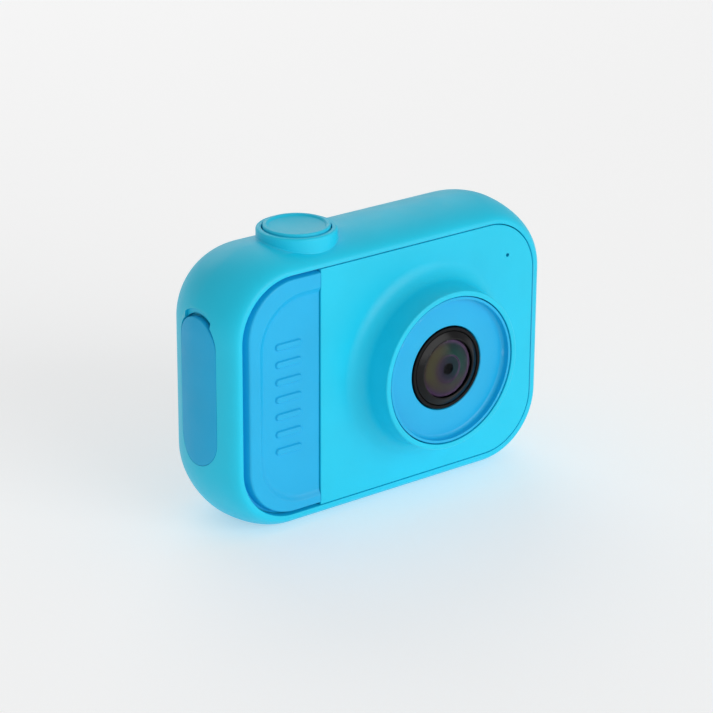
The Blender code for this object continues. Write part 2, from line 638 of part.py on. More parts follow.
def main():
    clear_scene()
    finishes = {
        "cyan": material("cyan_plastic", (0.03, 0.62, 0.86), 0.42),
        "blue": material("blue_plastic", (0.03, 0.46, 0.80), 0.45),
        "black": material("black_plastic", (0.012, 0.012, 0.014), 0.25),
        "glass": material("lens_glass", (0.05, 0.06, 0.08), 0.03, 0.0, 0.6),
        "filter": material("filter_glass", (0.25, 0.45, 0.5), 0.05, 0.0, 0.6),
        "window": material("window_acrylic", (0.01, 0.01, 0.012), 0.05),
        "screen": material("screen", (0.02, 0.02, 0.025), 0.2),
        "chip": material("component_black", (0.02, 0.02, 0.02), 0.5),
        "board": material("solder_mask", (0.01, 0.16, 0.06), 0.4),
        "metal": material("steel", (0.6, 0.6, 0.62), 0.3, 1.0),
        "foil": material("cell_foil", (0.7, 0.7, 0.72), 0.35, 0.8),
        "foam": material("foam", (0.03, 0.03, 0.03), 0.9),
        "flex": material("flex_film", (0.5, 0.22, 0.03), 0.4),
        "card": material("card_black", (0.02, 0.02, 0.022), 0.4),
        "white": material("connector_white", (0.8, 0.79, 0.75), 0.5),
        "red": material("lead_red", (0.5, 0.02, 0.02), 0.5),
        "dark": material("lead_black", (0.02, 0.02, 0.02), 0.5),
    }
    make_casing(finishes["cyan"])
    make_front_plate(finishes["cyan"])
    make_grip_inlay(finishes["blue"])
    make_lens_group(finishes)
    make_rear_cover(finishes["cyan"])
    make_keys(finishes)
    make_screen(finishes)
    make_board(finishes)
    make_sockets(finishes)
    make_battery(finishes)
    make_sound(finishes)
    make_shutter(finishes)
    make_port_cover(finishes)
    make_screws(finishes)


main()
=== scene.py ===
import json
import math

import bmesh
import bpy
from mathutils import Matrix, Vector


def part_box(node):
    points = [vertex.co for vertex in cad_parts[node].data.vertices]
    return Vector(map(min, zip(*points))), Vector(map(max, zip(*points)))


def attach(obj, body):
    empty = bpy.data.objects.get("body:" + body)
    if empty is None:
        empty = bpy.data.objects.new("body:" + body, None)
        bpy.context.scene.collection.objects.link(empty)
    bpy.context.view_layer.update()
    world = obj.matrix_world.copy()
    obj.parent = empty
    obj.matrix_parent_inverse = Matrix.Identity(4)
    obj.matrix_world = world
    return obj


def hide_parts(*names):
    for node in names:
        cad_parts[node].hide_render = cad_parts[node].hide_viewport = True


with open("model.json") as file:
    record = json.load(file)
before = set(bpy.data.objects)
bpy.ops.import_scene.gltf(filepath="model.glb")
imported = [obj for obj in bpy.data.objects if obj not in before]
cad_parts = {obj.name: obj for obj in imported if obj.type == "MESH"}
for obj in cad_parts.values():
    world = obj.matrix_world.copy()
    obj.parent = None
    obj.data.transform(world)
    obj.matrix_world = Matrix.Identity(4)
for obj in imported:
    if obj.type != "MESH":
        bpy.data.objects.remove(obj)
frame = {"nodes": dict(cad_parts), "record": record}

# The looks of a children's compact digital camera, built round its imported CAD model.
#
# Lengths are millimetres. A place is (x, depth, height): depth runs back from the front plate's
# face and height is measured from the lens axis, as in the CAD source. `place` turns that into the
# frame's metres. The shells and every piece that shows from outside are rebuilt finely here, with
# rounded edges; the pieces inside keep their CAD meshes and get new materials.

MM = 0.001
SHARP_ANGLE = math.radians(32)
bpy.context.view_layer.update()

# ---------------------------------------------------------------- driving dimensions

FACE_TO_ORIGIN = 10.7
AXIS_HEIGHT = 29.7

BODY_HALF_W, BODY_TOP, BODY_BOTTOM = 42.2, 30.1, 30.26
BODY_CORNER, BODY_DEPTH, CROWN_DEPTH = 16.3, 25.26, 11.28
FRONT_ROUND, FRONT_POWER = 3.5, 1.8
REAR_ROUND, REAR_POWER = 7.37, 1.72
WALL = 3.2
CORNER_X = BODY_HALF_W - BODY_CORNER  # the casing's corners turn about this x, at any depth
SIDE_PIECES = 12  # each straight side of the casing, so that cut faces stay small

SEAM_HALF_W, SEAM_HALF_H, SEAM_CORNER = 38.0, 26.126, 12.38
SEAM_GAP = 0.2
RECESS_DEPTH, PLATE_BACK = 2.2, 1.9
DIVIDER_X = -18.6
CAVITY_FRONT, CAVITY_REAR = 4.2, 22.0

REAR_HALF_W, REAR_HALF_H, REAR_CORNER = 34.2, 22.1, 8.6
REAR_LEDGE, COVER_INNER, COVER_LEDGE_W = 23.4, 23.5, 1.4

RIM_FRONT, RIM_OUTER, RIM_INNER = -8.52, 17.27, 16.15
FAIRING_FOOT, FAIRING_R = 21.6, 3.9
DISH_FLOOR = -6.55

COLLAR_TOP, COLLAR_R, COLLAR_FILLET = 31.85, 8.36, 0.2
COLLAR_FOOT = 26.5  # the sleeve ends above the shutter button's ears
BUTTON_R, BUTTON_BORE_R, SHUTTER_TOP = 6.95, 7.2, 32.4
BUTTON_FOOT, EAR_REACH, EAR_DEPTHS, EAR_THICK = 25.1, 9.2, (7.0, 14.2), 1.0

PORT_DEPTH, PORT_LOW, PORT_HIGH = 10.8, -8.2, 12.0
PORT_R, PORT_COVER_R, COVER_TOP_GAP = 6.2, 6.14, 0.6
PORT_FLOOR_X, NOTCH_FLOOR_X, COVER_INNER_X = -40.3, -40.7, -40.6

OUTSIDE_X, INSIDE_X = -46.0, -38.0  # how far the port side's cutters reach
USB_DEPTHS, USB_HEIGHTS, USB_CORNER = (9.9, 13.7), (-9.4, 0.2), 1.8
CARD_DEPTHS, CARD_HEIGHTS = (11.6, 13.7), (0.6, 13.8)
STRAP_SLOT_X, STRAP_DEPTHS, STRAP_HEIGHTS = -41.95, (8.2, 13.4), (-14.9, -14.3)
NOTCH_R, NOTCH_HALF_W, NOTCH_FOOT = 7.2, 4.4, 14.0

SPEAKER_DEPTH, SPEAKER_LOW, SPEAKER_PITCH = 10.8, -6.0, 3.0
SPEAKER_HOLE_R, SPEAKER_HOLES = 0.7, 5
LENS_HOLE_R = 9.0
MIC_HOLE_R = 0.42
RIB_TOP, RIB_PITCH, RIB_COUNT = 11.4, 3.8, 7
RIB_X, RIB_R, RIB_STRAIGHT = -26.5, 0.57, 2.5
RECESS_LEFT, RECESS_LOW, RECESS_HIGH, RECESS_CORNER = -33.9, -23.6, 22.2, 11.1  # the finger recess
INLAY_LEDGE, INLAY_FLOOR = -0.15, 0.45

GLASS_HALF_W, GLASS_HALF_H, GLASS_CORNER = 20.0, 15.0, 2.0
VIEW_HALF_W, VIEW_HALF_H, VIEW_CORNER = 18.5, 13.9, 1.0

KEYS = (  # CAD node, end radius, half the straight part
    ("key_ok", 3.2, 0.0),
    ("key_up", 2.3, 0.0),
    ("key_down", 2.3, 0.0),
    ("key_left", 2.3, 0.0),
    ("key_right", 2.3, 0.0),
    ("power_key", 1.6, 1.9),
    ("mode_key", 1.6, 1.9),
)

CYAN = (0.004, 0.60, 0.84)
BLUE = (0.006, 0.45, 0.80)

FLOOR_R = 1.7  # the floor ends before the plane behind which the back light gives none
WORLD_STRENGTH, BACKDROP_STRENGTH = 0.50, 0.86
SOFTBOXES = (  # name, place in metres, diameter, watts
    ("key_softbox", (0.35, -1.62, 0.36), 1.6, 16.5),
    ("back_softbox", (0.45, 1.15, 0.72), 1.2, 3.4),
)

CAMERA_AT = (-338.13, -426.09, 220.62)  # x, depth, height
CAMERA_AZIMUTH, CAMERA_ELEVATION, CAMERA_ROLL = -37.641, 21.841, 0.296
LENS_MM = 142.80


def place(x, depth, height):
    return Vector((x, depth - FACE_TO_ORIGIN, height + AXIS_HEIGHT)) * MM


def centre_of(node):
    """The middle of a CAD node's box as (x, depth, height)."""
    low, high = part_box(node)
    middle = (low + high) / 2 / MM
    return middle.x, middle.y + FACE_TO_ORIGIN, middle.z - AXIS_HEIGHT


LENS_X = centre_of("lens_bezel")[0]
SHUTTER_X, SHUTTER_DEPTH, _ = centre_of("shutter_button")
MIC_X, _, MIC_HEIGHT = centre_of("microphone")
SCREEN_X = centre_of("screen_window")[0]
CASE_SCREWS = [centre_of(f"case_screw_{i}")[::2] for i in range(1, 5)]

# ---------------------------------------------------------------- outlines and profiles


def rounded_outline(
    left, right, low, high, radius, steps=22, square_right=False, square_left=False, pieces=1
):
    """Corner-rounded rectangle as (u, v) points, anticlockwise from the upper right.

    A square side keeps its corners, and each straight side is made of this many pieces.
    """
    corners = (
        (right, high, 0.0, square_right),
        (left, high, 90.0, square_left),
        (left, low, 180.0, square_left),
        (right, low, 270.0, square_right),
    )
    rounds = []
    for u, v, start, square in corners:
        if square:
            rounds.append([(u, v)])
            continue
        centre_u = u - radius if u == right else u + radius
        centre_v = v - radius if v == high else v + radius
        turns = [math.radians(start + 90.0 * step / steps) for step in range(steps + 1)]
        rounds.append([(centre_u + radius * math.cos(t), centre_v + radius * math.sin(t)) for t in turns])
    points = []
    for here, following in zip(rounds, rounds[1:] + rounds[:1]):
        points += here
        for i in range(1, pieces):
            points.append(tuple(a + (b - a) * i / pieces for a, b in zip(here[-1], following[0])))
    return points


def circle_outline(u, v, radius, steps=48):
    turns = [math.tau * i / steps for i in range(steps)]
    return [(u + radius * math.cos(t), v + radius * math.sin(t)) for t in turns]


def pill_outline(u, v, radius, half_length, steps=24, upright=False):
    """A round-ended slot. half_length is its straight part's half length; 0 gives a circle."""
    points = []
    for side in (1, -1):
        for i in range(steps + 1):
            angle = math.pi * i / steps - math.pi / 2
            if upright:
                angle += math.pi / 2
            du, dv = side * radius * math.cos(angle), side * radius * math.sin(angle)
            shift = side * half_length
            points.append((u + du, v + dv + shift) if upright else (u + du + shift, v + dv))
    return points


def filleted(corners, closed=True, step_angle=10.0):
    """A polyline of (a, b, radius) corners with each corner rounded to its radius."""
    made = []
    count = len(corners)
    for i, (a, b, radius) in enumerate(corners):
        here = Vector((a, b))
        if radius == 0 or (not closed and i in (0, count - 1)):
            made.append((a, b))
            continue
        before = Vector(corners[i - 1][:2]) - here
        after = Vector(corners[(i + 1) % count][:2]) - here
        turn = math.pi - before.angle(after)
        reach = min(radius * math.tan(turn / 2), before.length * 0.49, after.length * 0.49)
        round_radius = reach / math.tan(turn / 2)
        inward = (before.normalized() + after.normalized()).normalized()
        centre = here + inward * math.hypot(round_radius, reach)
        across = (after.normalized() - before.normalized()).normalized()
        pieces = max(2, round(math.degrees(turn) / step_angle))
        for k in range(pieces + 1):
            angle = (k / pieces - 0.5) * turn
            point = centre + (across * math.sin(angle) - inward * math.cos(angle)) * round_radius
            made.append((point.x, point.y))
    return made


def arc(centre, radius, start, end, steps):
    turns = [math.radians(start + (end - start) * i / steps) for i in range(steps + 1)]
    return [(centre[0] + radius * math.cos(t), centre[1] + radius * math.sin(t)) for t in turns]


# ---------------------------------------------------------------- shapes: (points, faces)


def loft(loops, closed=False):
    """Quads between loops of equal length. Unless the loops close on themselves, both ends are capped."""
    count = len(loops[0])
    points = [point for loop in loops for point in loop]
    faces = []
    for a in range(len(loops) if closed else len(loops) - 1):
        b = (a + 1) % len(loops)
        for i in range(count):
            j = (i + 1) % count
            faces.append((a * count + i, a * count + j, b * count + j, b * count + i))
    if not closed:
        last = (len(loops) - 1) * count
        faces.append(tuple(range(count)))
        faces.append(tuple(last + i for i in range(count)))
    return points, faces


def open_loft(loops):
    """Quads between open loops, closed by a flat face at each end and one along the open side."""
    count = len(loops[0])
    points = [point for loop in loops for point in loop]
    rows = range(len(loops))
    faces = []
    for a in rows[:-1]:
        for i in range(count - 1):
            faces.append((a * count + i, a * count + i + 1, (a + 1) * count + i + 1, (a + 1) * count + i))
    faces.append(tuple(range(count)))
    faces.append(tuple(rows[-1] * count + i for i in range(count)))
    faces.append(tuple([a * count for a in rows] + [(a + 1) * count - 1 for a in reversed(rows)]))
    return points, faces


def prism(outline, start, end, along="depth"):
    to_point = {
        "depth": lambda u, v, w: place(u, w, v),
        "x": lambda u, v, w: place(w, u, v),
        "height": lambda u, v, w: place(u, v, w),
    }[along]
    return loft([[to_point(u, v, w) for u, v in outline] for w in (start, end)])


def block(x_range, depth_range, height_range):
    corners = [(x, height) for x, height in zip(sorted(x_range * 2), height_range + height_range[::-1])]
    return prism(corners, *depth_range)


def turned(profile, centre, axis="depth", steps=128):
    """A closed profile of (radius, along) points turned about an axis through (u, v)."""
    u, v = centre
    loops = []
    for radius, along in profile:
        ring = circle_outline(u, v, max(radius, 0.0), steps)
        if axis == "depth":
            loops.append([place(p, along, q) for p, q in ring])
        else:
            loops.append([place(p, q, along) for p, q in ring])
    return loft(loops, closed=True)


# ---------------------------------------------------------------- pieces


def new_mesh(name, shapes):
    """One mesh of closed shapes, with doubled points merged and faces pointing out."""
    builder = bmesh.new()
    for points, faces in shapes:
        verts = [builder.verts.new(point) for point in points]
        for face in faces:
            builder.faces.new([verts[i] for i in face])
    bmesh.ops.remove_doubles(builder, verts=builder.verts, dist=1e-7)
    bmesh.ops.recalc_face_normals(builder, faces=builder.faces)
    mesh = bpy.data.meshes.new(name)
    builder.to_mesh(mesh)
    builder.free()
    return mesh


def boolean(obj, operation, *shapes):
    """Cuts the shapes from the object, or keeps what is inside them, and keeps the result as its mesh."""
    helper = bpy.data.objects.new("helper", new_mesh("helper", shapes))
    bpy.context.scene.collection.objects.link(helper)
    step = obj.modifiers.new("step", "BOOLEAN")
    step.operation, step.solver, step.object = operation, "EXACT", helper
    graph = bpy.context.evaluated_depsgraph_get()
    made = bpy.data.meshes.new_from_object(obj.evaluated_get(graph))
    obj.modifiers.clear()
    obj.data = made
    bpy.data.objects.remove(helper)


def piece(name, shapes, finish, body="camera", replaces=(), cuts=(), edge=0.0, weighted=True):
    """A visible piece: its mesh, its Boolean cuts, an optional bevel in mm, shading and body.

    Weighted normals keep flat faces flat beside their fillets. A piece with fine loops does without.
    """
    obj = bpy.data.objects.new(name, new_mesh(name, shapes))
    bpy.context.scene.collection.objects.link(obj)
    for group in cuts:
        boolean(obj, "DIFFERENCE", *group)
    obj.data.name = name
    obj.data.materials.clear()
    obj.data.materials.append(finish)
    obj.data.shade_smooth()
    obj.data.set_sharp_from_angle(angle=SHARP_ANGLE)
    if edge:
        bevel = obj.modifiers.new("edges", "BEVEL")
        bevel.width = edge * MM
        bevel.segments = 3
        bevel.limit_method = "ANGLE"
        bevel.angle_limit = SHARP_ANGLE
        bevel.use_clamp_overlap = True
    if weighted:
        obj.modifiers.new("normals", "WEIGHTED_NORMAL").keep_sharp = True
    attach(obj, body)
    if replaces:
        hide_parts(*replaces)
    return obj


# ---------------------------------------------------------------- materials


class Graph:
    """A material's nodes, with object-space coordinates to hand."""

    def __init__(self, name):
        self.material = bpy.data.materials.new(name)
        self.material.use_nodes = True
        self.nodes = self.material.node_tree.nodes
        self.links = self.material.node_tree.links
        self.shader = self.nodes["Principled BSDF"]
        self.where = self.nodes.new("ShaderNodeTexCoord").outputs["Object"]

    def noise(self, scale, detail=2.0, roughness=0.5):
        node = self.nodes.new("ShaderNodeTexNoise")
        node.inputs["Scale"].default_value = scale
        node.inputs["Detail"].default_value = detail
        node.inputs["Roughness"].default_value = roughness
        self.links.new(self.where, node.inputs["Vector"])
        return node.outputs["Fac"]

    def spread(self, value, low, high, new_low=0.0, new_high=1.0):
        node = self.nodes.new("ShaderNodeMapRange")
        limits = {"From Min": low, "From Max": high, "To Min": new_low, "To Max": new_high}
        for key, number in limits.items():
            node.inputs[key].default_value = number
        self.links.new(value, node.inputs["Value"])
        return node.outputs["Result"]

    def mix(self, factor, first, second):
        node = self.nodes.new("ShaderNodeMix")
        node.data_type = "RGBA"
        self.links.new(factor, node.inputs[0])
        for socket, colour in ((node.inputs[6], first), (node.inputs[7], second)):
            if isinstance(colour, tuple):
                socket.default_value = (*colour, 1.0)
            else:
                self.links.new(colour, socket)
        return node.outputs[2]

    def ramp(self, value, stops):
        node = self.nodes.new("ShaderNodeValToRGB")
        marks = node.color_ramp.elements
        while len(marks) < len(stops):
            marks.new(0.5)
        for mark, (at, colour) in zip(marks, stops):
            mark.position, mark.color = at, (*colour, 1.0)
        self.links.new(value, node.inputs["Fac"])
        return node.outputs["Color"]

    def worn_and_highlit_edges(self):
        """Goes from 0 on open faces to 1 along raised edges."""
        pointy = self.nodes.new("ShaderNodeNewGeometry").outputs["Pointiness"]
        return self.spread(pointy, 0.52, 0.58)

    def bump(self, height, depth_mm):
        node = self.nodes.new("ShaderNodeBump")
        node.inputs["Strength"].default_value = 1.0
        node.inputs["Distance"].default_value = depth_mm * MM
        self.links.new(height, node.inputs["Height"])
        self.links.new(node.outputs["Normal"], self.shader.inputs["Normal"])

    def link(self, value, socket):
        self.links.new(value, self.shader.inputs[socket])

    def set(self, **values):
        for key, value in values.items():
            self.shader.inputs[key.replace("_", " ")].default_value = value


def scaled(colour, factor):
    return tuple(min(1.0, part * factor) for part in colour)


def moulded(name, colour, roughness=0.42, grain=0.010, variation=0.03, edge_paling=0.06, specular=0.4):
    """Moulded plastic: a fine spark-eroded grain, slight colour drift, and raised edges painted paler,
    partly as rubbing by handling and partly as a painted highlight along the rims.
    """
    g = Graph(name)
    drift = g.spread(g.noise(55.0, 3.0), 0.35, 0.65)
    base = g.mix(drift, scaled(colour, 1 - variation), scaled(colour, 1 + variation))
    # Raised edges painted paler: partly rubbed by handling, partly a painted highlight along the rims.
    if edge_paling:
        paler = tuple(part + (1 - part) * edge_paling for part in colour)
        base = g.mix(g.worn_and_highlit_edges(), base, paler)
    g.link(base, "Base Color")
    patches = g.spread(g.noise(230.0, 4.0, 0.6), 0.3, 0.7, roughness - 0.04, roughness + 0.04)
    g.link(patches, "Roughness")
    g.bump(g.noise(7000.0, 2.0), grain)
    g.set(Specular_IOR_Level=specular)
    g.material.diffuse_color = (*colour, 1.0)
    return g.material


def metal(name, colour, roughness, streak=9000.0):
    g = Graph(name)
    drift = g.spread(g.noise(900.0, 4.0), 0.3, 0.7)
    g.link(g.mix(drift, scaled(colour, 0.86), scaled(colour, 1.06)), "Base Color")
    g.link(g.spread(g.noise(2500.0, 3.0), 0.3, 0.7, roughness - 0.07, roughness + 0.08), "Roughness")
    g.bump(g.noise(streak, 2.0), 0.004)
    g.set(Metallic=1.0)
    return g.material


def coated_glass(name, tint, film, ior):
    """A clear, polished element. film is its coating in nm, and a low ior stands for one that cuts glare."""
    g = Graph(name)
    g.link(g.mix(g.noise(900.0), scaled(tint, 0.97), tint), "Base Color")
    g.link(g.spread(g.noise(1500.0, 3.0), 0.4, 0.8, 0.01, 0.035), "Roughness")
    g.set(Transmission_Weight=1.0, IOR=ior, Thin_Film_Thickness=film, Thin_Film_IOR=1.12)
    return g.material


def make_finishes():
    made = {
        "casing": moulded("casing_cyan", CYAN, 0.44),
        "plate": moulded("plate_cyan", CYAN, 0.42, edge_paling=0.0),
        "cover": moulded("rear_cover_cyan", CYAN, 0.44, edge_paling=0.0),
        "button": moulded("button_cyan", scaled(CYAN, 0.97), 0.42),
        "blue": moulded("grip_blue", BLUE, 0.42, edge_paling=0.0),
        "bezel": moulded("bezel_blue", BLUE, 0.38),
        "key": moulded("key_blue", BLUE, 0.35, grain=0.006),
        "rubber": moulded("port_rubber", scaled(BLUE, 0.96), 0.55, grain=0.014, edge_paling=0.0, specular=0.35),
        "gloss_black": moulded("lens_black", (0.003, 0.003, 0.0035), 0.22, 0.001, 0.2, 0.004, 0.2),
        "satin_black": moulded("satin_black", (0.003, 0.003, 0.0035), 0.34, 0.004, 0.2, 0.004, 0.14),
        "inner_black": moulded("inner_black", (0.018, 0.018, 0.02), 0.55, 0.012, 0.15, 0.03),
        "chip": moulded("component_black", (0.022, 0.022, 0.024), 0.5, 0.01, 0.2, 0.05),
        "foam": moulded("foam", (0.03, 0.03, 0.03), 0.9, 0.05, 0.3, 0.0),
        "card": moulded("card_black", (0.02, 0.02, 0.022), 0.4, 0.004, 0.1, 0.05),
        "white": moulded("connector_white", (0.8, 0.79, 0.75), 0.5, 0.006),
        "red": moulded("lead_red", (0.5, 0.02, 0.02), 0.45, 0.006),
        "dark": moulded("lead_dark", (0.02, 0.02, 0.02), 0.45, 0.006),
        "flex": moulded("flex_film", (0.5, 0.22, 0.03), 0.3, 0.004),
        "board": moulded("solder_mask", (0.01, 0.16, 0.06), 0.35, 0.008, 0.12),
        "mark": moulded("key_mark", (0.75, 0.86, 0.90), 0.45, 0.004),
        "steel": metal("plated_steel", (0.62, 0.62, 0.64), 0.28),
        "foil": metal("cell_foil", (0.72, 0.72, 0.74), 0.36, 3000.0),
        "glass": coated_glass("lens_glass", (0.96, 0.98, 1.0), 0.0, 1.08),
        "filter": coated_glass("filter_glass", (0.55, 0.85, 0.88), 320.0, 1.5),
    }
    made["panel"] = screen_finish("screen_panel", 0.10)
    made["window"] = screen_finish("window_acrylic", 0.06)
    return made


def screen_finish(name, roughness):
    """Dark gloss panel: the active area behind it is a shade lighter than the printed border."""
    g = Graph(name)
    split = g.nodes.new("ShaderNodeSeparateXYZ")
    g.links.new(g.where, split.inputs[0])
    sides = []
    for axis, middle, half in (("X", SCREEN_X, 17.6), ("Z", AXIS_HEIGHT, 13.2)):
        offset = g.nodes.new("ShaderNodeMath")
        offset.operation = "SUBTRACT"
        offset.inputs[1].default_value = middle * MM
        g.links.new(split.outputs[axis], offset.inputs[0])
        distance = g.nodes.new("ShaderNodeMath")
        distance.operation = "ABSOLUTE"
        g.links.new(offset.outputs[0], distance.inputs[0])
        sides.append(g.spread(distance.outputs[0], (half - 0.05) * MM, (half + 0.05) * MM, 1.0, 0.0))
    inside = g.nodes.new("ShaderNodeMath")
    inside.operation = "MULTIPLY"
    for i, side in enumerate(sides):
        g.links.new(side, inside.inputs[i])
    g.link(g.mix(inside.outputs[0], (0.006, 0.006, 0.007), (0.020, 0.023, 0.028)), "Base Color")
    g.link(g.spread(g.noise(700.0, 4.0), 0.35, 0.75, roughness - 0.03, roughness + 0.05), "Roughness")
    g.set(Coat_Weight=0.6, Coat_Roughness=0.03)
    return g.material


def painted_reflection_finish():
    """The element deep in the lens, painted with the reflections off its coating: rings of amber, green and
    violet about the lens axis, round a painted dark pupil.
    """
    g = Graph("inner_painted_reflections")
    split = g.nodes.new("ShaderNodeSeparateXYZ")
    g.links.new(g.where, split.inputs[0])
    centred = g.nodes.new("ShaderNodeCombineXYZ")
    for axis, middle in (("X", LENS_X), ("Z", AXIS_HEIGHT)):
        offset = g.nodes.new("ShaderNodeMath")
        offset.operation = "SUBTRACT"
        offset.inputs[1].default_value = middle * MM
        g.links.new(split.outputs[axis], offset.inputs[0])
        g.links.new(offset.outputs[0], centred.inputs[axis])
    length = g.nodes.new("ShaderNodeVectorMath")
    length.operation = "LENGTH"
    g.links.new(centred.outputs[0], length.inputs[0])
    radius = g.spread(length.outputs["Value"], 0.0, 6.7 * MM)
    # The dark pupil is painted shade, and the thin violet lines are painted reflections.
    pupil, rim, line = (0.0003, 0.001, 0.002), (0.006, 0.003, 0.006), (0.11, 0.06, 0.13)
    warm = g.ramp(radius, (
        (0.17, pupil), (0.21, (0.03, 0.018, 0.035)), (0.32, (0.04, 0.03, 0.05)),
        (0.46, (0.055, 0.04, 0.045)), (0.58, (0.068, 0.06, 0.035)), (0.76, (0.070, 0.062, 0.030)),
        (0.88, (0.045, 0.03, 0.035)), (0.97, rim),
    ))
    cool = g.ramp(radius, (
        (0.17, pupil), (0.21, (0.012, 0.03, 0.038)), (0.40, (0.015, 0.035, 0.042)), (0.45, line),
        (0.48, (0.012, 0.055, 0.042)), (0.78, (0.020, 0.042, 0.045)), (0.89, line), (0.93, rim),
    ))
    low = g.ramp(radius, (
        (0.17, pupil), (0.22, (0.035, 0.014, 0.04)), (0.44, (0.05, 0.026, 0.058)),
        (0.50, (0.045, 0.032, 0.036)), (0.72, (0.058, 0.046, 0.042)),
        (0.84, (0.05, 0.028, 0.058)), (0.92, line), (0.96, rim),
    ))
    # Amber on the left, green on the right and violet below: painted reflections that change across the
    # element.
    parts = g.nodes.new("ShaderNodeSeparateXYZ")
    g.links.new(centred.outputs[0], parts.inputs[0])
    across = g.spread(parts.outputs["X"], -2.0 * MM, 1.2 * MM)
    below = g.spread(parts.outputs["Z"], -1.0 * MM, -4.5 * MM)
    g.link(g.mix(below, g.mix(across, warm, cool), low), "Base Color")
    g.link(g.spread(g.noise(800.0), 0.3, 0.7, 0.22, 0.3), "Roughness")
    g.set(Specular_IOR_Level=0.05)
    return g.material


# ---------------------------------------------------------------- the casing's surface


def draw_in(depth):
    """How far the casing's outline lies inside its widest outline at this depth."""
    if depth < CROWN_DEPTH:
        part = (CROWN_DEPTH - max(0.0, depth)) / CROWN_DEPTH
        return FRONT_ROUND * (1 - (1 - part**FRONT_POWER) ** (1 / FRONT_POWER))
    part = min(1.0, (depth - CROWN_DEPTH) / (BODY_DEPTH - CROWN_DEPTH))
    return REAR_ROUND * (1 - max(0.0, 1 - part**REAR_POWER) ** (1 / REAR_POWER))


def casing_depths(front_steps, rear_steps):
    """Depths spaced so that the rounding turns evenly from the front face to the rear face."""
    front = [math.pi / 2 * i / front_steps for i in range(front_steps + 1)]
    rear = [math.pi / 2 * i / rear_steps for i in range(1, rear_steps + 1)]
    depths = [CROWN_DEPTH * (1 - max(0.0, math.cos(t)) ** (2 / FRONT_POWER)) for t in front]
    return depths + [
        CROWN_DEPTH + (BODY_DEPTH - CROWN_DEPTH) * math.sin(t) ** (2 / REAR_POWER) for t in rear
    ]


def casing_loop(depth, inset=0.0):
    """The casing's outline at one depth, cut flat along the strip that it stands on."""
    drawn = draw_in(depth) + inset
    left, right, top = drawn - BODY_HALF_W, BODY_HALF_W - drawn, BODY_TOP - drawn
    outline = rounded_outline(left, right, drawn - BODY_BOTTOM, top, BODY_CORNER - drawn, pieces=SIDE_PIECES)
    return [place(x, depth, max(height, inset - AXIS_HEIGHT)) for x, height in outline]


def side_x(depth, height):
    """The casing's outer surface on the port side."""
    radius = BODY_CORNER - draw_in(depth)
    past = max(0.0, height - (BODY_TOP - BODY_CORNER), BODY_CORNER - BODY_BOTTOM - height)
    return -CORNER_X - math.sqrt(radius**2 - past**2)


def casing_top(x, depth):
    """The casing's outer surface above this x and depth, over its upper corners too."""
    radius = BODY_CORNER - draw_in(depth)
    past = max(0.0, abs(x) - CORNER_X)
    return BODY_TOP - BODY_CORNER + math.sqrt(radius**2 - past**2)


def box_loop(half_w, half_h, corner, grow, depth):
    outline = rounded_outline(
        -half_w - grow, half_w + grow, -half_h - grow, half_h + grow, corner + grow, pieces=SIDE_PIECES
    )
    return [place(x, depth, height) for x, height in outline]


def port_loop(radius, x_of, top_gap=0.0):
    """A loop round the port cover's outline, at the x that x_of(depth, height) gives."""
    middle, half = (PORT_HIGH - top_gap + PORT_LOW) / 2, (PORT_HIGH - top_gap - PORT_LOW) / 2
    outline = pill_outline(PORT_DEPTH, middle, radius, half, 32, upright=True)
    return [place(x_of(depth, height), depth, height) for depth, height in outline]


def notch_outline():
    """The fingernail notch over the port cover: an arc between two upright sides."""
    lean = math.degrees(math.acos(NOTCH_HALF_W / NOTCH_R))
    top = arc((PORT_DEPTH, PORT_HIGH), NOTCH_R, lean, 180 - lean, 24)
    return [(PORT_DEPTH + NOTCH_HALF_W, NOTCH_FOOT)] + top + [(PORT_DEPTH - NOTCH_HALF_W, NOTCH_FOOT)]


def crescent_outline():
    """The deeper room under the cover's upper edge."""
    outer = arc((PORT_DEPTH, PORT_HIGH), PORT_R, 25, 155, 24)
    inner = arc((PORT_DEPTH, PORT_HIGH - COVER_TOP_GAP), PORT_R - 0.6, 155, 25, 24)
    return outer + inner


